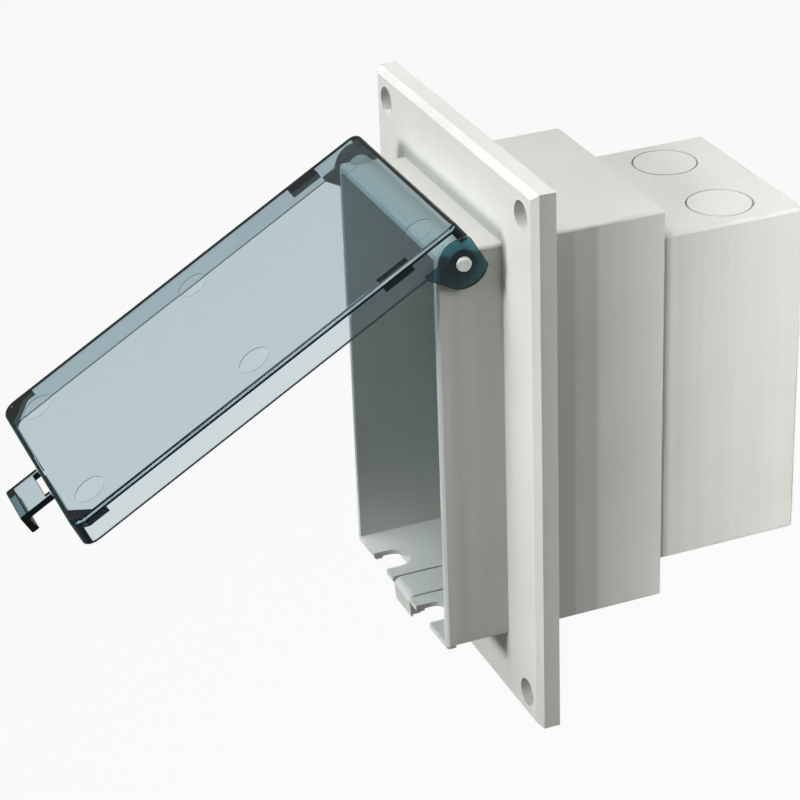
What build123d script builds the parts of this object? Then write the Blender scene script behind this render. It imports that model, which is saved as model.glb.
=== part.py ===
"""Recessed weatherproof electrical box with a top-hinged see-through cover.

Frame: millimetres, +Z up, the front faces -Y. The origin is the centre of the
flange's back face, the plane that lies on the wall. The housing is one
moulding: a shroud in front of the wall, a flange on it and a recess behind it.
A smaller device box is screwed into the recess's rear wall. The cover is
modelled closed and then turned open about its hinge pins.
"""
import os
from math import acos, cos, hypot, sin

from build123d import *

# Flange, the plate that is fixed to the wall
flange_width = 124.0
flange_height = 188.0
flange_thickness = 7.5
flange_bevel = 2.0
flange_hole_dia = 9.5
flange_hole_inset_x = 9.0
flange_hole_inset_z = 9.5

# Housing tube: the shroud in front of the flange and the recess behind it
body_width = 78.0
body_height = 140.0
body_wall = 1.8
body_corner = 1.2
shroud_depth = 22.0
recess_depth = 48.0
rear_wall = 5.0
lip_proud = 0.8
lip_depth = 3.0
lip_chamfer = 0.7

# Cord notches in the shroud's bottom wall
notch_width = 11.5
notch_depth = 10.7
notch_spacing = 37.6

# Latch keeper: a springy tongue between two slits in the bottom wall
keeper_width = 13.2
keeper_length = 18.8
slit_width = 0.9
keeper_root_gap = 0.15
keeper_lip_thickness = 2.8
keeper_lip_slant = 0.6
keeper_lip_flare = 1.5
keeper_sill_gap = 0.4
keeper_hook_bite = 0.3
keeper_hook_play = 0.8
keeper_bend = 2.4

# Device box behind the recess
device_step_side = 4.2
device_step_end = 11.0
device_depth = 52.5
device_wall = 2.6
device_corner = 1.2
device_back_chamfer = 0.7
rim_thickness = 3.0
gasket_thickness = 1.5
fit_gap = 0.3

# Screws that hold the device box in the recess
screw_inset = 7.8
screw_dia = 3.0
screw_head_dia = 6.2
screw_head_height = 2.2
screw_head_edge = 0.9
screw_bite = 3.5
screw_hole_gap = 0.2
thread_gap = 0.02

# Knockouts in the device box's top and bottom walls
knockout_dia = 22.2
knockout_spacing = 38.1
knockout_setback = 30.2
knockout_groove = 0.6
knockout_web = 0.7
knockout_gap = 0.02

# Ledges and inserts that take a single wiring device
device_screw_spacing = 83.3
insert_dia = 5.0
insert_bore = 2.8
insert_length = 8.0
insert_gap = 0.02
screw_relief = 0.5
ledge_width = 20.0
ledge_depth = 14.0
ledge_setback = 5.5
ledge_margin = 4.6

# Hinge pins: stub axles near the top front corners of the shroud
pin_dia = 4.7
pin_drop = 2.5
pin_setback = 7.7
pin_gap = 0.05
pin_stand_out = 1.3
pin_chamfer = 0.5
pin_ramp = 1.1
pin_ramp_turn_deg = 125.0
pin_boss_dia = 8.4
ear_gap = 0.3

# Cover: a shallow tray with an ear round each pin
cover_panel = 2.0
cover_wall = 1.6
cover_side_gap = 1.2
cover_end_gap = 1.3
cover_draft = 0.8
cover_stand_off = 2.2
cover_depth = 8.7
cover_free_corner = 5.0
cover_hinge_corner = 3.5
cover_edge_round = 1.6
hinge_wall_depth = 6.3
hinge_wall_tuck = 0.9
hinge_wall_lean = 1.0
ear_radius = 8.4
ear_web_reach = 12.0
rest_opening_deg = 60.0

# Pads, gussets and moulding marks on the cover's inner face
pad_gap = 0.3
pad_width = 4.2
pad_length = 11.0
pad_from_pin = 12.8
free_pad_width = 1.0
gusset_width = 10.8
gusset_height = 8.6
mark_dia = 10.4
mark_depth = 0.2
mark_spacing_x = 59.0
mark_first = 4.4
mark_pitch = 62.8

# Latch: a tab on two thin straps below the cover's free end
latch_width = 17.6
latch_thickness = 2.2
latch_setback = 6.2
latch_drop = 12.4
latch_shelf = 7.1
latch_corner = 0.8
latch_bend = 0.8
latch_window_width = 13.6
latch_window_height = 2.3
latch_root_gap = 0.3
latch_bead = 0.4
latch_bead_width = 1.4
latch_tip_round = 0.6
keeper_slot_gap = 0.4

# Places that follow from the sizes above
flange_hole_x = flange_width / 2 - flange_hole_inset_x
flange_hole_z = flange_height / 2 - flange_hole_inset_z
front_y = -flange_thickness - shroud_depth
half_width = body_width / 2
half_height = body_height / 2
inner_half_width = half_width - body_wall
inner_half_height = half_height - body_wall
device_width = body_width - 2 * device_step_side
device_height = body_height - 2 * device_step_end
rear_front_y = recess_depth - rear_wall
gasket_front_y = rear_front_y - gasket_thickness
rim_front_y = gasket_front_y - rim_thickness
device_back_y = recess_depth + device_depth
rim_half_width = inner_half_width - fit_gap
rim_half_height = inner_half_height - fit_gap
screw_x = device_width / 2 - screw_inset
screw_z = (device_height / 2 + rim_half_height) / 2
pin_y = front_y + pin_setback
pin_z = half_height - pin_drop
ear_inner_x = half_width + lip_proud + cover_side_gap
ear_outer_x = ear_inner_x + cover_wall
boss_x = ear_inner_x - ear_gap
panel_inner_y = front_y - cover_stand_off
cover_face_y = panel_inner_y - cover_panel
cover_rim_y = cover_face_y + cover_depth
cover_end_z = half_height + lip_proud + cover_end_gap + cover_wall
cover_inner_z = cover_end_z - cover_wall
hinge_tip_z = cover_end_z - hinge_wall_tuck + hinge_wall_lean
keeper_root_y = front_y + keeper_length
knockout_y = recess_depth + knockout_setback
latch_front_y = cover_face_y + latch_setback
latch_sill_z = -cover_end_z - latch_window_height


def block(x0, x1, y0, y1, z0, z1):
    """An upright block between two corners."""
    size = (abs(x1 - x0), abs(y1 - y0), abs(z1 - z0))
    centre = ((x0 + x1) / 2, (y0 + y1) / 2, (z0 + z1) / 2)
    return Pos(*centre) * Box(*size)


def centred_block(width, height, y0, y1):
    """A block centred on the Y axis."""
    return block(-width / 2, width / 2, y0, y1, -height / 2, height / 2)


def rod(radius, start, end, direction):
    """A round bar along X, Y or Z between two values on that axis."""
    turns = {"X": Rot(0, 90, 0), "Y": Rot(-90, 0, 0), "Z": Rot(0, 0, 0)}
    bar = turns[direction] * Cylinder(radius, end - start)
    middle = (start + end) / 2
    places = {"X": Pos(middle, 0, 0), "Y": Pos(0, middle, 0), "Z": Pos(0, 0, middle)}
    return places[direction] * bar


def side_profile(points, half):
    """A profile given as (y, z) points, extruded from -half to +half in X."""
    outline = Polyline(*[(0, y, z) for y, z in points], close=True)
    return extrude(make_face(outline), half, dir=(1, 0, 0), both=True)


def long_edges(shape):
    """The outer edges of a block that run along Y."""
    return shape.edges().filter_by(Axis.Y)


def flange_holes():
    """Through holes near the flange's corners."""
    holes = []
    for x in (-flange_hole_x, flange_hole_x):
        for z in (-flange_hole_z, flange_hole_z):
            hole = rod(flange_hole_dia / 2, -flange_thickness - 1, 1, "Y")
            holes.append(Pos(x, 0, z) * hole)
    return holes


def screw_places():
    """Name and (x, z) of each screw between device box and housing."""
    places = []
    for row, z in (("top", screw_z), ("bottom", -screw_z)):
        for side, x in (("left", -screw_x), ("right", screw_x)):
            places.append((row + "_" + side, x, z))
    return places


def notch(x):
    """A U-shaped cord notch, open at the shroud's front edge."""
    radius = notch_width / 2
    centre_y = front_y + notch_depth - radius
    low = -half_height - lip_proud - 1
    high = -inner_half_height + 1
    slot = block(x - radius, x + radius, front_y - 1, centre_y, low, high)
    return slot + Pos(x, centre_y, 0) * rod(radius, low, high, "Z")


def make_housing():
    """Shroud, flange and recess in one moulding."""
    flange = centred_block(flange_width, flange_height, -flange_thickness, 0)
    flange = chamfer(flange.faces().sort_by(Axis.Y)[0].edges(), flange_bevel)
    tube = centred_block(body_width, body_height, front_y + lip_depth / 2, recess_depth)
    tube = fillet(long_edges(tube), body_corner)
    lip = centred_block(body_width + 2 * lip_proud, body_height + 2 * lip_proud,
                        front_y, front_y + lip_depth)
    lip = fillet(long_edges(lip), body_corner + lip_proud)
    lip = chamfer(lip.faces().sort_by(Axis.Y)[0].edges(), lip_chamfer)
    housing = flange + tube + lip
    housing -= centred_block(2 * inner_half_width, 2 * inner_half_height,
                             front_y - 1, rear_front_y)
    opening_width = device_width + 2 * fit_gap
    opening_height = device_height + 2 * fit_gap
    housing -= centred_block(opening_width, opening_height,
                             rear_front_y - 1, recess_depth + 1)
    for hole in flange_holes():
        housing -= hole
    for x in (-notch_spacing / 2, notch_spacing / 2):
        housing -= notch(x)
    slot_half = keeper_width / 2 + slit_width
    housing -= block(-slot_half, slot_half, front_y - 1, keeper_root_y,
                     -half_height - lip_proud - 1, -inner_half_height + 1)
    pilot = rod(screw_dia / 2 + thread_gap, rear_front_y - 1,
                rear_front_y + screw_bite + fit_gap, "Y")
    for _, x, z in screw_places():
        housing -= Pos(x, 0, z) * pilot
    for side in (-1, 1):
        boss = rod(pin_boss_dia / 2, inner_half_width, boss_x, "X")
        if side < 0:
            boss = mirror(boss, about=Plane.YZ)
        housing += Pos(0, pin_y, pin_z) * boss
    reach = ear_outer_x + 1
    housing -= Pos(0, pin_y, pin_z) * rod(pin_dia / 2 + thread_gap, -reach, reach, "X")
    return housing


def make_hinge_pin(side):
    """A stub axle: a round pin whose outer end is ramped for snapping on an ear."""
    outer_x = ear_outer_x + pin_stand_out
    pin = rod(pin_dia / 2, inner_half_width, outer_x, "X")
    pin = chamfer(pin.faces().sort_by(Axis.X)[-1].edges(), pin_chamfer)
    pin -= side_ramp(outer_x)
    if side < 0:
        pin = mirror(pin, about=Plane.YZ)
    return Pos(0, pin_y, pin_z) * pin


def side_ramp(outer_x):
    """The wedge taken off the pin's end, on its lower front side."""
    radius = pin_dia / 2
    corners = [(outer_x - pin_ramp, radius + 0.01), (outer_x + 1, radius + 0.01),
               (outer_x + 1, -radius * 0.1), (outer_x, -radius * 0.1)]
    outline = Polyline(*[(x, 0, z) for x, z in corners], close=True)
    wedge = extrude(make_face(outline), pin_dia, dir=(0, 1, 0), both=True)
    return wedge.rotate(Axis.X, pin_ramp_turn_deg)


def make_keeper():
    """The springy tongue; its bent-down lip hooks in front of the latch's sill."""
    top_z = -inner_half_height
    under_z = -half_height
    root_y = keeper_root_y - keeper_root_gap
    lip_z = latch_sill_z + keeper_sill_gap
    hook_z = latch_sill_z - keeper_hook_bite
    hook_back_y = latch_front_y - keeper_hook_play
    lip_back_y = front_y + keeper_lip_thickness
    points = [
        (front_y, top_z), (root_y, top_z), (root_y, under_z), (lip_back_y, under_z),
        (lip_back_y + keeper_lip_flare, lip_z), (hook_back_y, lip_z),
        (hook_back_y, hook_z), (front_y + keeper_lip_slant, hook_z),
        (front_y, under_z),
    ]
    keeper = side_profile(points, keeper_width / 2)
    bend = keeper.edges().filter_by(Axis.X).sort_by_distance((0, front_y, top_z))[0]
    return fillet(bend, keeper_bend)


def make_device_box():
    """The rear box: a rim inside the recess, a tub behind it and two ledges."""
    tub = centred_block(device_width, device_height, rim_front_y, device_back_y)
    tub = fillet(long_edges(tub), device_corner)
    tub = chamfer(tub.faces().sort_by(Axis.Y)[-1].edges(), device_back_chamfer)
    rim = centred_block(2 * rim_half_width, 2 * rim_half_height,
                        rim_front_y, gasket_front_y)
    box = tub + fillet(long_edges(rim), device_corner)
    cavity_width = device_width - 2 * device_wall
    cavity_height = device_height - 2 * device_wall
    box -= centred_block(cavity_width, cavity_height,
                         rim_front_y - 1, device_back_y - device_wall)
    for _, x, z in screw_places():
        hole = rod(screw_dia / 2 + screw_hole_gap, rim_front_y - 1, gasket_front_y + 1, "Y")
        box -= Pos(x, 0, z) * hole
    ledge_y = rim_front_y + ledge_setback
    for side in (-1, 1):
        inner = side * (device_screw_spacing / 2 - ledge_margin)
        outer = side * (cavity_height / 2 + device_wall / 2)
        ledge = block(-ledge_width / 2, ledge_width / 2, ledge_y, ledge_y + ledge_depth,
                      inner, outer)
        box += ledge
        hole = rod(insert_dia / 2 + insert_gap, ledge_y - 1, ledge_y + insert_length, "Y")
        hole += rod(insert_bore / 2 + screw_relief, ledge_y, ledge_y + ledge_depth + 1, "Y")
        box -= Pos(0, 0, side * device_screw_spacing / 2) * hole
        for x in (-knockout_spacing / 2, knockout_spacing / 2):
            box -= Pos(x, knockout_y, 0) * knockout_hole(side)
    return box


def knockout_hole(side):
    """The round hole that a knockout leaves when it is punched out."""
    outer_z = device_height / 2
    radius = knockout_dia / 2 + knockout_gap
    hole = rod(radius, outer_z - device_wall - 1, outer_z + 1, "Z")
    return hole if side > 0 else mirror(hole, about=Plane.XY)


def make_knockout(x, side):
    """A removable disc with a groove round its outer side, in the box's wall."""
    outer_z = device_height / 2
    disc = rod(knockout_dia / 2 - knockout_groove, outer_z - device_wall, outer_z, "Z")
    disc += rod(knockout_dia / 2, outer_z - device_wall,
                outer_z - device_wall + knockout_web, "Z")
    disc = disc if side > 0 else mirror(disc, about=Plane.XY)
    return Pos(x, knockout_y, 0) * disc


def make_insert(side):
    """A threaded insert in a ledge, for a device's fixing screw."""
    ledge_y = rim_front_y + ledge_setback
    insert = rod(insert_dia / 2, ledge_y, ledge_y + insert_length, "Y")
    insert -= rod(insert_bore / 2, ledge_y - 1, ledge_y + insert_length + 1, "Y")
    return Pos(0, 0, side * device_screw_spacing / 2) * insert


def make_gasket():
    """The flat seal between the device box's rim and the recess's rear wall."""
    gasket = centred_block(2 * rim_half_width, 2 * rim_half_height,
                           gasket_front_y, rear_front_y)
    gasket -= centred_block(device_width + 2 * fit_gap, device_height + 2 * fit_gap,
                            gasket_front_y - 1, rear_front_y + 1)
    for _, x, z in screw_places():
        hole = rod(screw_dia / 2 + screw_hole_gap, gasket_front_y - 1, rear_front_y + 1, "Y")
        gasket -= Pos(x, 0, z) * hole
    return gasket


def make_box_screw(x, z):
    """A domed screw through rim and gasket into the recess's rear wall."""
    head_y = rim_front_y - screw_head_height
    head = rod(screw_head_dia / 2, head_y, rim_front_y, "Y")
    head = chamfer(head.faces().sort_by(Axis.Y)[0].edges(), screw_head_edge)
    shank = rod(screw_dia / 2, rim_front_y, rear_front_y + screw_bite, "Y")
    return Pos(x, 0, z) * (head + shank)


def tray_body(inset, y0, y1):
    """The cover's rounded outline between two depths; its walls lean outwards."""
    def half_x(y):
        return ear_outer_x - inset - cover_draft * (cover_rim_y - y) / cover_depth

    def low_z(y):
        return half_x(y) - ear_outer_x + cover_end_z

    def top_z(y):
        lean = hinge_wall_lean * (y - cover_face_y) / hinge_wall_depth
        return cover_end_z - hinge_wall_tuck - inset + lean

    plan = Polyline((-half_x(y0), y0, 0), (half_x(y0), y0, 0),
                    (half_x(y1), y1, 0), (-half_x(y1), y1, 0), close=True)
    body = extrude(make_face(plan), 2 * cover_end_z, dir=(0, 0, 1), both=True)
    body &= side_profile([(y0, -low_z(y0)), (y0, top_z(y0)),
                          (y1, top_z(y1)), (y1, -low_z(y1))], ear_outer_x + 1)
    for end, radius in ((-1, cover_free_corner), (1, cover_hinge_corner)):
        corners = [edge for edge in body.edges()
                   if edge.center().Z * end > 0 and abs(edge.tangent_at(0.5).Y) > 0.9]
        body = fillet(corners, max(radius - inset, 0.5))
    return body


def make_tray():
    """Panel and side walls, with the hinge wall cut back between the ears."""
    back_y = cover_rim_y
    tray = tray_body(0, cover_face_y, back_y)
    tray = fillet(tray.faces().sort_by(Axis.Y)[0].edges(), cover_edge_round)
    tray -= tray_body(cover_wall, panel_inner_y, back_y + 1)
    tip_y = cover_face_y + hinge_wall_depth
    tray -= block(-ear_inner_x, ear_inner_x, tip_y, back_y + 1, pin_z, hinge_tip_z + 2)
    tray -= block(-ear_outer_x - 1, ear_outer_x + 1, tip_y, back_y + 1,
                  hinge_tip_z, hinge_tip_z + 2)
    return tray


def ear_profile():
    """Round end, flush with the hinge wall's tip, and a web that runs to the rim."""
    rise = pin_y - cover_rim_y
    reach = hypot(rise, ear_web_reach)
    turn = acos(ear_radius / reach)
    ey, ez = -rise / reach, -ear_web_reach / reach
    touch = (pin_y + ear_radius * (ey * cos(turn) - ez * sin(turn)),
             pin_z + ear_radius * (ez * cos(turn) + ey * sin(turn)))
    web = [(pin_y, hinge_tip_z), (cover_rim_y - cover_wall, hinge_tip_z),
           (cover_rim_y - cover_wall, pin_z - ear_web_reach),
           (cover_rim_y, pin_z - ear_web_reach), touch, (pin_y, pin_z)]
    return web


def make_ear(side):
    """The lug that turns on a hinge pin."""
    outline = Polyline(*[(ear_inner_x, y, z) for y, z in ear_profile()], close=True)
    ear = extrude(make_face(outline), cover_wall, dir=(1, 0, 0))
    end = Pos(0, pin_y, pin_z) * rod(ear_radius, ear_inner_x, ear_outer_x, "X")
    end -= block(ear_inner_x - 1, ear_outer_x + 1, pin_y - 2 * ear_radius,
                 pin_y + 2 * ear_radius, hinge_tip_z, hinge_tip_z + ear_radius)
    ear += end
    return ear if side > 0 else mirror(ear, about=Plane.YZ)


def cover_pads():
    """Stand-off pads, corner gussets and the blocks beside them."""
    depth = cover_stand_off - pad_gap
    back_y = panel_inner_y + depth
    outer_x = ear_inner_x + cover_wall / 2
    end_z = -cover_inner_z - cover_wall / 2
    pads = []
    for side in (-1, 1):
        inner_x = ear_inner_x - pad_width
        hinge_top = pin_z - pad_from_pin
        pads.append(block(side * inner_x, side * outer_x, panel_inner_y, back_y,
                          hinge_top - pad_length, hinge_top))
        free_x = ear_inner_x - free_pad_width
        pads.append(block(side * free_x, side * outer_x, panel_inner_y, back_y,
                          end_z + cover_free_corner, -cover_inner_z + pad_length))
        corners = [(side * (ear_inner_x - gusset_width), -cover_inner_z),
                  (side * ear_inner_x, -cover_inner_z + gusset_height),
                  (side * outer_x, -cover_inner_z + gusset_height),
                  (side * outer_x, -cover_inner_z + cover_free_corner),
                  (side * (outer_x - cover_free_corner), end_z),
                  (side * (ear_inner_x - gusset_width), end_z)]
        outline = Polyline(*[(x, panel_inner_y, z) for x, z in corners], close=True)
        pads.append(extrude(make_face(outline), depth, dir=(0, 1, 0)))
    return pads


def moulding_marks():
    """Shallow round marks on the panel's inner face, three in each of two columns."""
    marks = []
    for x in (-mark_spacing_x / 2, mark_spacing_x / 2):
        for step in range(3):
            z = pin_z - mark_first - step * mark_pitch
            mark = rod(mark_dia / 2, panel_inner_y - mark_depth, panel_inner_y + 1, "Y")
            marks.append(Pos(x, 0, z) * mark)
    return marks


def make_cover():
    """The closed cover with ears, pads, marks and the slot for the keeper."""
    cover = make_tray()
    for side in (-1, 1):
        cover += make_ear(side)
    for mark in moulding_marks():
        cover -= mark
    for pad in cover_pads():
        cover += pad
    slot_half = keeper_width / 2 + keeper_slot_gap
    cover -= block(-slot_half, slot_half, panel_inner_y, cover_rim_y + 1,
                   -cover_end_z - 1, -cover_inner_z + 1)
    reach = ear_outer_x + 1
    cover -= Pos(0, pin_y, pin_z) * rod(pin_dia / 2 + pin_gap, -reach, reach, "X")
    return cover


def make_latch():
    """The closed latch: straps, tab, rounded corner and a shelf with a bead."""
    top_z = -cover_end_z - latch_root_gap
    low_z = -cover_end_z - latch_drop
    back_y = latch_front_y + latch_thickness
    shelf_y = latch_front_y + latch_shelf
    shelf_top = low_z + latch_thickness
    points = [(latch_front_y, top_z), (back_y, top_z), (back_y, shelf_top),
              (shelf_y - latch_bead_width - latch_bead, shelf_top),
              (shelf_y - latch_bead_width, shelf_top + latch_bead),
              (shelf_y, shelf_top + latch_bead), (shelf_y, low_z), (latch_front_y, low_z)]
    latch = side_profile(points, latch_width / 2)
    along = latch.edges().filter_by(Axis.X)
    outer = along.sort_by_distance((0, latch_front_y, low_z))[0]
    latch = fillet(outer, latch_corner)
    inner = latch.edges().filter_by(Axis.X).sort_by_distance((0, back_y, shelf_top))[0]
    latch = fillet(inner, latch_bend)
    tip = latch.edges().filter_by(Axis.X).sort_by_distance((0, shelf_y, low_z))[0]
    latch = fillet(tip, latch_tip_round)
    latch -= block(-latch_window_width / 2, latch_window_width / 2,
                   latch_front_y - 1, back_y + 1, latch_sill_z, top_z + 1)
    return latch


def opened(shape):
    """Turn a closed piece about the hinge line to the pose it rests in."""
    hinge_line = Axis((0, pin_y, pin_z), (1, 0, 0))
    return shape.rotate(hinge_line, -rest_opening_deg)


def all_nodes():
    """Every piece of the box, by node name."""
    nodes = {
        "housing": make_housing(),
        "device_box": make_device_box(),
        "box_gasket": make_gasket(),
        "latch_keeper": make_keeper(),
        "cover": opened(make_cover()),
        "cover_latch": opened(make_latch()),
    }
    for name, x, z in screw_places():
        nodes["box_screw_" + name] = make_box_screw(x, z)
    for row, side in (("top", 1), ("bottom", -1)):
        nodes["device_insert_" + row] = make_insert(side)
        nodes["knockout_" + row + "_left"] = make_knockout(-knockout_spacing / 2, side)
        nodes["knockout_" + row + "_right"] = make_knockout(knockout_spacing / 2, side)
    for name, side in (("left", -1), ("right", 1)):
        nodes["hinge_pin_" + name] = make_hinge_pin(side)
    return nodes


def main():
    """Write one STEP file for each node."""
    os.makedirs("parts", exist_ok=True)
    for name, shape in all_nodes().items():
        export_step(shape, "parts/" + name + ".step")


main()
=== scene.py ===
"""Looks of the recessed weatherproof box: materials, light, floor and camera.

The CAD shapes are shown as they are. Lengths are in metres, apart from the rules that
pick faces of the cover and its latch: those are in millimetres, with the cover shut.
"""
import math

import bpy
from mathutils import Matrix, Vector

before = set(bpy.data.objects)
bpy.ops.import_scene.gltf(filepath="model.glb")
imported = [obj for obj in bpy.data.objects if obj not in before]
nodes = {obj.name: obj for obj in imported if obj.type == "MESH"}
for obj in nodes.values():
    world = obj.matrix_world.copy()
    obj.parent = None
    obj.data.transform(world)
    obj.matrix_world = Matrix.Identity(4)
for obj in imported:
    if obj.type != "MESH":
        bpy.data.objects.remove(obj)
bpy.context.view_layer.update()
scene = bpy.context.scene

# Background and floor
MIRRORED = 0.25  # share of the white background that reflections show
FLOOR_HEIGHT = -0.50
FLOOR_HALF = 6.0

# Lamps, where one has nothing else of its own
LAMP_TARGET = (0, 0.02, 0)
LAMP_DISTANCE = 1.3
LAMP_SIZE = (0.45, 0.45)

# Camera
SENSOR_MM = 36.0
PICTURE_PX = 800.0
NEAREST_SEEN = 0.01
FARTHEST_SEEN = 100.0

# Clear plastic
PLASTIC_IOR = 1.52

# Places on the shut cover in millimetres; a pair is a lower and an upper limit
MM_PER_METRE = 1000
OPENING_DEG = 60
HINGE = Vector((0, -21.8, 67.5))
ROUND_Y = (-33.68, -32.15)
CORNER_Y = (-33.6, -24.5)
RIM_Y = -25.0
RIM_SLACK = 0.05
MARK_Y = (-31.88, -31.72)
MARK_X = 38
PAD_Y = (-31.68, -29.75)
PAD_Z = (-71.9, 71)
PAD_X = 40.2
TIP_Y = -27.6
TIP_Z = 70.6
SLOT_X = 7.2
SLOT_Y = -31.6
SLOT_Z = -71
EAR_Y = -24.9
EAR_X = 42.5

# Limits for one component of a face's normal
FACING = 0.9
HALF_TURNED = 0.5
UPRIGHT = 0.25
CORNER_TURN = 0.12
FLAT_FRONT = -0.999
STRIP_FRONT = -0.8
STRIP_BACK = -0.5


def srgb(r, g, b):
    """A colour given as 0-255 values, as linear numbers with alpha."""
    parts = []
    for value in (r, g, b):
        c = value / 255
        parts.append(c / 12.92 if c <= 0.04045 else ((c + 0.055) / 1.055) ** 2.4)
    return (*parts, 1.0)


def grey(level):
    """An even grey of a linear level, with alpha."""
    return (level, level, level, 1)


class ShaderTree:
    """The nodes of a material or world, with short calls for adding and joining them."""

    def __init__(self, owner, output_kind):
        owner.use_nodes = True
        self.owner = owner
        self.tree = owner.node_tree
        self.tree.nodes.clear()
        self.out = self.add(output_kind)

    def add(self, kind, **settings):
        """A new node with the settings given."""
        node = self.tree.nodes.new(kind)
        for key, value in settings.items():
            setattr(node, key, value)
        return node

    def shader(self, kind, constants):
        """A new node with constants on the sockets named."""
        node = self.add(kind)
        for socket, value in constants.items():
            node.inputs[socket].default_value = value
        return node

    def join(self, source, target):
        """A link from an output to an input."""
        self.tree.links.new(source, target)

    def place(self, scale=(1, 1, 1)):
        """Object coordinates, stretched by scale."""
        coord = self.add("ShaderNodeTexCoord")
        mapping = self.add("ShaderNodeMapping")
        mapping.inputs["Scale"].default_value = scale
        self.join(coord.outputs["Object"], mapping.inputs["Vector"])
        return mapping.outputs["Vector"]

    def noise(self, vector, scale, detail=3, roughness=0.55):
        """Soft noise between 0 and 1."""
        node = self.add("ShaderNodeTexNoise")
        node.inputs["Scale"].default_value = scale
        node.inputs["Detail"].default_value = detail
        node.inputs["Roughness"].default_value = roughness
        self.join(vector, node.inputs["Vector"])
        return node.outputs["Fac"]

    def ramp(self, factor, stops):
        """Colours that follow a factor, from (position, colour) pairs."""
        node = self.add("ShaderNodeValToRGB")
        ramp = node.color_ramp
        while len(ramp.elements) < len(stops):
            ramp.elements.new(0.5)
        for element, (position, colour) in zip(ramp.elements, stops):
            element.position = position
            element.color = colour
        self.join(factor, node.inputs["Fac"])
        return node.outputs["Color"]

    def spread(self, factor, low, high):
        """A factor from 0 to 1, moved to the range from low to high."""
        node = self.add("ShaderNodeMapRange")
        node.inputs["To Min"].default_value = low
        node.inputs["To Max"].default_value = high
        self.join(factor, node.inputs["Value"])
        return node.outputs["Result"]

    def multiply(self, a, b):
        """Two colours, multiplied."""
        node = self.add("ShaderNodeMix", data_type="RGBA", blend_type="MULTIPLY")
        node.inputs["Factor"].default_value = 1.0
        self.join(a, node.inputs["A"])
        self.join(b, node.inputs["B"])
        return node.outputs["Result"]

    def bump(self, height, strength, distance, normal=None):
        """A normal bent by a height, on top of another normal where one is given."""
        node = self.add("ShaderNodeBump")
        node.inputs["Strength"].default_value = strength
        node.inputs["Distance"].default_value = distance
        self.join(height, node.inputs["Height"])
        if normal is not None:
            self.join(normal, node.inputs["Normal"])
        return node.outputs["Normal"]

    def scale(self, value, factor):
        """A value times a fixed factor."""
        node = self.add("ShaderNodeMath", operation="MULTIPLY")
        node.inputs[1].default_value = factor
        self.join(value, node.inputs[0])
        return node.outputs["Value"]

    def larger(self, a, b):
        """The larger of two values."""
        node = self.add("ShaderNodeMath", operation="MAXIMUM")
        self.join(a, node.inputs[0])
        self.join(b, node.inputs[1])
        return node.outputs["Value"]

    def blend(self, factor, first, second):
        """The first shader where the factor is 0 and the second where it is 1."""
        node = self.add("ShaderNodeMixShader")
        self.join(factor, node.inputs["Fac"])
        self.join(first, node.inputs[1])
        self.join(second, node.inputs[2])
        return node.outputs["Shader"]

    def seen(self, path):
        """How far a ray shows plain white: seen or through clear plastic 1, mirrored less."""
        mirrored = self.scale(path.outputs["Is Glossy Ray"], MIRRORED)
        through = self.larger(mirrored, path.outputs["Is Transmission Ray"])
        return self.larger(path.outputs["Is Camera Ray"], through)


def new_material(name):
    """An empty node material."""
    return ShaderTree(bpy.data.materials.new(name), "ShaderNodeOutputMaterial")


def moulded_plastic(name, colour, rough=0.42, streaks=0.5):
    """Pale moulded plastic: fine grain, soft mottling and faint draw marks along Z."""
    m = new_material(name)
    shader = m.shader("ShaderNodeBsdfPrincipled", {"Specular IOR Level": 0.42})
    flat = m.place()
    mottle = m.noise(flat, scale=14.0)
    tint = [srgb(*[c * k for c in colour]) for k in (0.975, 1.0, 1.015)]
    base = m.ramp(mottle, [(0.3, tint[0]), (0.5, tint[1]), (0.72, tint[2])])
    drawn = m.noise(m.place((420, 420, 3.5)), scale=1.0, detail=2, roughness=0.6)
    marks = m.ramp(drawn, [(0.32, grey(1.0 - 0.055 * streaks)), (0.62, grey(1))])
    base = m.multiply(base, marks)
    specks = m.ramp(m.noise(flat, scale=2600.0, detail=2), [(0.30, grey(0.95)), (0.5, grey(1))])
    base = m.multiply(base, specks)
    m.join(base, shader.inputs["Base Color"])
    m.join(m.spread(mottle, rough - 0.05, rough + 0.07), shader.inputs["Roughness"])
    grain = m.bump(m.noise(flat, scale=1900.0), strength=0.25, distance=0.00006)
    normal = m.bump(drawn, strength=0.10 * streaks, distance=0.00008, normal=grain)
    m.join(normal, shader.inputs["Normal"])
    m.join(shader.outputs["BSDF"], m.out.inputs["Surface"])
    return m.owner


def smoky_clear(name):
    """Polished smoky blue-grey polycarbonate, darker the further light goes through it."""
    m = new_material(name)
    shader = m.shader("ShaderNodeBsdfPrincipled", {
        "Base Color": grey(1.0), "Transmission Weight": 1.0, "IOR": PLASTIC_IOR,
        "Specular IOR Level": 0.15})
    flat = m.place()
    wave = m.noise(flat, scale=22.0, detail=2)
    haze = m.noise(flat, scale=240.0)
    m.join(m.spread(haze, 0.015, 0.05), shader.inputs["Roughness"])
    m.join(m.bump(wave, strength=0.05, distance=0.0004), shader.inputs["Normal"])
    shade = m.shader("ShaderNodeBsdfTransparent", {"Color": (0.10, 0.25, 0.30, 1)})
    path = m.add("ShaderNodeLightPath")
    surface = m.blend(path.outputs["Is Shadow Ray"], shader.outputs["BSDF"],
                      shade.outputs["BSDF"])
    m.join(surface, m.out.inputs["Surface"])
    body = m.shader("ShaderNodeVolumeAbsorption", {
        "Color": (0.15, 0.39, 0.47, 1), "Density": 285.0})
    m.join(body.outputs["Volume"], m.out.inputs["Volume"])
    return m.owner


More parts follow.
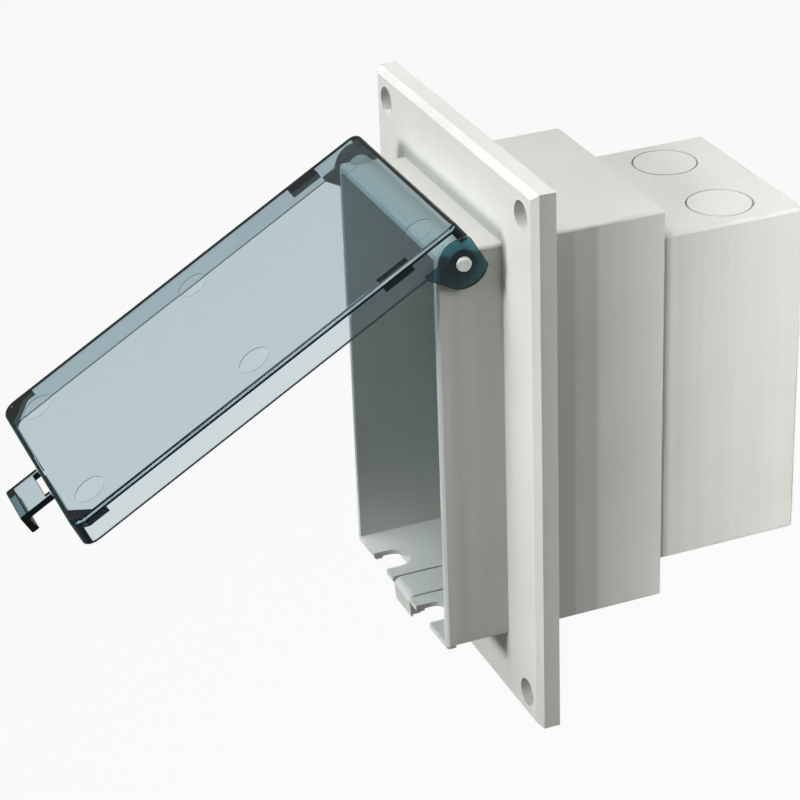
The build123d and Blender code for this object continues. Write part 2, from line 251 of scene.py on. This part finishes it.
def smoky_painted_shade(name, colour):
    """The clear plastic made to let little light through, as on the ears: painted shade for the
    shaded housing seen through them.
    """
    m = new_material(name)
    shader = m.shader("ShaderNodeBsdfPrincipled", {
        "Base Color": colour, "Transmission Weight": 1.0, "IOR": PLASTIC_IOR,
        "Specular IOR Level": 0.08})
    flat = m.place()
    haze = m.noise(flat, scale=240.0)
    wave = m.noise(flat, scale=22.0, detail=2)
    m.join(m.spread(haze, 0.02, 0.08), shader.inputs["Roughness"])
    m.join(m.bump(wave, strength=0.05, distance=0.0004), shader.inputs["Normal"])
    m.join(shader.outputs["BSDF"], m.out.inputs["Surface"])
    return m.owner


def smoky_edge(name, colour):
    """An opaque stand-in for the clear plastic's edges: a dark colour is painted shade for
    light lost inside the plastic, a pale one a painted highlight.
    """
    m = new_material(name)
    shader = m.shader("ShaderNodeBsdfPrincipled", {"Specular IOR Level": 0.12})
    flow = m.noise(m.place((60, 60, 60)), scale=1.0)
    low = srgb(*[c * 0.75 for c in colour])
    base = m.ramp(flow, [(0.3, low), (0.7, srgb(*colour))])
    m.join(base, shader.inputs["Base Color"])
    m.join(m.spread(flow, 0.08, 0.18), shader.inputs["Roughness"])
    haze = m.noise(m.place(), scale=240.0, detail=2)
    m.join(m.bump(haze, strength=0.05, distance=0.0001), shader.inputs["Normal"])
    m.join(shader.outputs["BSDF"], m.out.inputs["Surface"])
    return m.owner


def rubber(name):
    """Dark closed-cell rubber."""
    m = new_material(name)
    shader = m.add("ShaderNodeBsdfPrincipled")
    cells = m.noise(m.place(), scale=900.0, detail=4, roughness=0.65)
    base = m.ramp(cells, [(0.3, srgb(28, 29, 30)), (0.7, srgb(52, 53, 54))])
    m.join(base, shader.inputs["Base Color"])
    m.join(m.spread(cells, 0.7, 0.9), shader.inputs["Roughness"])
    m.join(m.bump(cells, strength=0.5, distance=0.0002), shader.inputs["Normal"])
    m.join(shader.outputs["BSDF"], m.out.inputs["Surface"])
    return m.owner


def metal(name, colour, rough):
    """Turned metal with fine scratches."""
    m = new_material(name)
    shader = m.shader("ShaderNodeBsdfPrincipled", {"Metallic": 1.0})
    lines = m.noise(m.place((1, 6, 1)), scale=1400.0, roughness=0.7)
    dark = srgb(*[c * 0.86 for c in colour])
    base = m.ramp(lines, [(0.3, dark), (0.6, srgb(*colour))])
    m.join(base, shader.inputs["Base Color"])
    m.join(m.spread(lines, rough - 0.06, rough + 0.1), shader.inputs["Roughness"])
    m.join(m.bump(lines, strength=0.2, distance=0.00003), shader.inputs["Normal"])
    m.join(shader.outputs["BSDF"], m.out.inputs["Surface"])
    return m.owner


def floor_paint(name, level, returned, white):
    """A pale floor, nearly white to the camera, that keeps the object's shadow.

    level is its own grey, returned the dimmer grey that lights the object from below,
    and white the share of plain white that the camera sees.
    """
    m = new_material(name)
    path = m.add("ShaderNodeLightPath")
    own = m.shader("ShaderNodeBsdfDiffuse", {"Color": grey(level)})
    dim = m.shader("ShaderNodeBsdfDiffuse", {"Color": grey(returned)})
    paint = m.blend(path.outputs["Is Diffuse Ray"], own.outputs["BSDF"], dim.outputs["BSDF"])
    glow = m.shader("ShaderNodeEmission", {"Color": grey(1)})
    share = m.scale(m.seen(path), white)
    m.join(m.blend(share, paint, glow.outputs["Emission"]), m.out.inputs["Surface"])
    return m.owner


def named(start):
    """The CAD nodes whose names begin alike."""
    return [name for name in nodes if name.startswith(start)]


def dress(material, *names):
    """Give CAD nodes a material."""
    for name in names:
        data = nodes[name].data
        data.materials.clear()
        data.materials.append(material)


def closed_place(polygon):
    """The centre in millimetres and the normal of a face, with the cover turned shut."""
    turn = Matrix.Rotation(math.radians(OPENING_DEG), 3, "X")
    centre = turn @ (polygon.center * MM_PER_METRE - HINGE) + HINGE
    return centre, turn @ polygon.normal


def within(value, limits):
    """Whether a value lies between two limits."""
    return limits[0] < value < limits[1]


def in_strip(normal):
    """Whether a rounded edge's face is tilted like its middle strip, which gets a painted
    highlight.
    """
    return STRIP_FRONT <= normal.y <= STRIP_BACK


def cover_has_painted_shade(centre, normal):
    """Whether a face of the cover lies on an edge, corner, pad, mark, slot or ear's rim, which
    get painted shade.
    """
    x, y, z = abs(centre.x), centre.y, centre.z
    nx, ny, nz = abs(normal.x), normal.y, abs(normal.z)
    hinge_end = z > 0
    rounded = within(y, ROUND_Y)
    side_line = rounded and nx > nz and not in_strip(normal)
    end_line = rounded and nz >= nx and ny > (STRIP_BACK if hinge_end else FLAT_FRONT)
    turned = nx > CORNER_TURN and nz > (CORNER_TURN if hinge_end else HALF_TURNED)
    corner = abs(ny) < UPRIGHT and within(y, CORNER_Y) and turned
    rim = abs(y - RIM_Y) < RIM_SLACK and ny > FACING
    mark = within(y, MARK_Y) and x < MARK_X
    pad = within(y, PAD_Y) and within(z, PAD_Z) and (x < PAD_X or nx < FACING)
    wall_tip = z > TIP_Z and y > TIP_Y and ny > FACING
    slot = z < SLOT_Z and x < SLOT_X and y > SLOT_Y
    ear_rim = y > EAR_Y and nx < HALF_TURNED
    return (side_line or end_line or corner or rim or mark or pad or wall_tip
            or slot or ear_rim)


def is_ear_side(centre, normal):
    """Whether a face of the cover is an ear's outer side, which gets painted shade."""
    return abs(centre.x) > EAR_X and abs(normal.x) > FACING


def edge_has_painted_highlight(centre, normal):
    """Whether a face is in the middle strip of the cover's rounded long edges, which gets a
    painted highlight.
    """
    long_edge = abs(normal.x) > abs(normal.z)
    return within(centre.y, ROUND_Y) and long_edge and in_strip(normal)


def latch_has_painted_shade(_, normal):
    """Whether a face of the latch looks left, right or down, which gets painted shade."""
    return abs(normal.x) > FACING or normal.z < -HALF_TURNED


def paint_faces(name, material, rule):
    """Give the faces of a CAD node that a rule picks one more material."""
    data = nodes[name].data
    data.materials.append(material)
    for polygon in data.polygons:
        if rule(*closed_place(polygon)):
            polygon.material_index = len(data.materials) - 1


def dress_shell():
    """Housing, device box, discs and hinge pins: pale moulded plastic."""
    shell = moulded_plastic("shell_plastic", (214, 214, 208))
    rear = moulded_plastic("rear_box_plastic", (211, 211, 205), streaks=0.8)
    disc = moulded_plastic("disc_plastic", (213, 213, 207), streaks=0.1)
    pin = moulded_plastic("pin_plastic", (234, 236, 233), rough=0.3, streaks=0.0)
    dress(shell, "housing", "latch_keeper")
    dress(rear, "device_box")
    dress(disc, *named("knockout"))
    dress(pin, *named("hinge_pin"))


def dress_cover():
    """Cover and latch: clear smoky plastic, with painted shade on edges and ears and a painted
    highlight strip.
    """
    dress(smoky_clear("cover_plastic"), "cover", "cover_latch")
    # painted shade: dark opaque colour on the cover's edges, corners, pads, marks and the
    # latch's sides
    painted_edge_shade = smoky_edge("cover_edge_painted_shade", (10, 38, 44))
    # painted shade: the ears' outer sides pass almost no light
    painted_ear_shade = smoky_painted_shade("cover_ear_painted_shade", (0.003, 0.05, 0.07, 1))
    # painted highlight: a pale opaque strip along the middle of the rounded long edges
    painted_highlight = smoky_edge("cover_round_painted_highlight", (165, 180, 188))
    paint_faces("cover", painted_edge_shade, cover_has_painted_shade)
    paint_faces("cover", painted_ear_shade, is_ear_side)
    paint_faces("cover", painted_highlight, edge_has_painted_highlight)
    paint_faces("cover_latch", painted_edge_shade, latch_has_painted_shade)


def dress_hardware():
    """Seal, screws and inserts."""
    dress(rubber("seal_rubber"), "box_gasket")
    dress(metal("screw_steel", (188, 190, 192), 0.28), *named("box_screw"))
    dress(metal("insert_brass", (196, 160, 92), 0.3), *named("device_insert"))


def direction(azimuth, elevation):
    """The way from the object out to a viewpoint, from radians; azimuth 0 is in front."""
    return Vector((math.sin(azimuth) * math.cos(elevation),
                   -math.cos(azimuth) * math.cos(elevation), math.sin(elevation)))


def lamp(name, azimuth, elevation, power, distance=LAMP_DISTANCE, target=LAMP_TARGET,
         size=LAMP_SIZE, spread=180):
    """An area lamp that points at target. Angles in degrees; azimuth 90 is on the right."""
    away = direction(math.radians(azimuth), math.radians(elevation))
    data = bpy.data.lights.new(name, "AREA")
    data.shape = "RECTANGLE"
    data.size, data.size_y = size
    data.energy = power
    data.spread = math.radians(spread)
    lamp_object = bpy.data.objects.new(name, data)
    lamp_object.location = Vector(target) + away * distance
    lamp_object.rotation_euler = (-away).to_track_quat("-Z", "Y").to_euler()
    scene.collection.objects.link(lamp_object)


def set_world(colour, level):
    """White behind everything that is seen, dim plain light otherwise."""
    world = ShaderTree(bpy.data.worlds.new("studio"), "ShaderNodeOutputWorld")
    scene.world = world.owner
    white = world.shader("ShaderNodeBackground", {"Color": grey(1)})
    light = world.shader("ShaderNodeBackground", {"Color": (*colour, 1), "Strength": level})
    seen = world.seen(world.add("ShaderNodeLightPath"))
    surface = world.blend(seen, light.outputs["Background"], white.outputs["Background"])
    world.join(surface, world.out.inputs["Surface"])


def make_floor(height, half, material):
    """A large flat floor below the object."""
    mesh = bpy.data.meshes.new("floor")
    corners = [(-half, -half, height), (half, -half, height),
               (half, half, height), (-half, half, height)]
    mesh.from_pydata(corners, [], [(0, 1, 2, 3)])
    floor = bpy.data.objects.new("floor", mesh)
    floor.data.materials.append(material)
    scene.collection.objects.link(floor)


def set_camera(azimuth, elevation, roll, focal_px, distance, target):
    """The photograph's viewpoint. Angles in degrees, distance and target in metres."""
    az, el, turn = (math.radians(a) for a in (azimuth, elevation, roll))
    back = direction(az, el)
    level_right = Vector((math.cos(az), math.sin(az), 0))
    level_up = back.cross(level_right)
    right = level_right * math.cos(turn) + level_up * math.sin(turn)
    up = -level_right * math.sin(turn) + level_up * math.cos(turn)
    data = bpy.data.cameras.new("camera")
    data.sensor_width = SENSOR_MM
    data.lens = SENSOR_MM * focal_px / PICTURE_PX
    data.clip_start, data.clip_end = NEAREST_SEEN, FARTHEST_SEEN
    camera = bpy.data.objects.new("camera", data)
    axes = Matrix((right, up, back)).transposed().to_4x4()
    camera.matrix_world = Matrix.Translation(Vector(target) + back * distance) @ axes
    scene.collection.objects.link(camera)
    scene.camera = camera


def light_scene():
    """Lamps high in front, one at the right, one behind and three narrow ones in front."""
    lamp("key", azimuth=-30, elevation=65, power=6.9)
    lamp("key_left", azimuth=-60, elevation=65, power=1.4)
    lamp("key_front", azimuth=0, elevation=65, power=3.0)
    lamp("top", azimuth=0, elevation=88, power=1.2)
    lamp("right", azimuth=116, elevation=36, power=4.6)
    lamp("front", azimuth=6, elevation=22, power=0.50, target=(0, 0, -0.01),
         size=(0.3, 0.3), spread=30)
    lamp("side_near", azimuth=41, elevation=12, power=0.12, distance=1.1,
         target=(0.039, 0.14, 0), size=(0.12, 0.5), spread=6)
    lamp("side_far", azimuth=52, elevation=12, power=0.12, distance=1.1,
         target=(0.039, 0.125, 0), size=(0.12, 0.5), spread=6)
    lamp("back", azimuth=-150, elevation=15, power=8.0, size=(0.8, 0.8))


dress_shell()
dress_cover()
dress_hardware()
paint = floor_paint("floor_paint", level=0.55, returned=0.22, white=0.93)
make_floor(FLOOR_HEIGHT, FLOOR_HALF, paint)
set_world(colour=(0.84, 1.0, 0.94), level=0.075)
light_scene()
set_camera(azimuth=68.70, elevation=27.52, roll=-2.22, focal_px=2593.3, distance=0.928,
           target=(-0.07024, 0, -0.03668))
scene.view_settings.view_transform = "Standard"
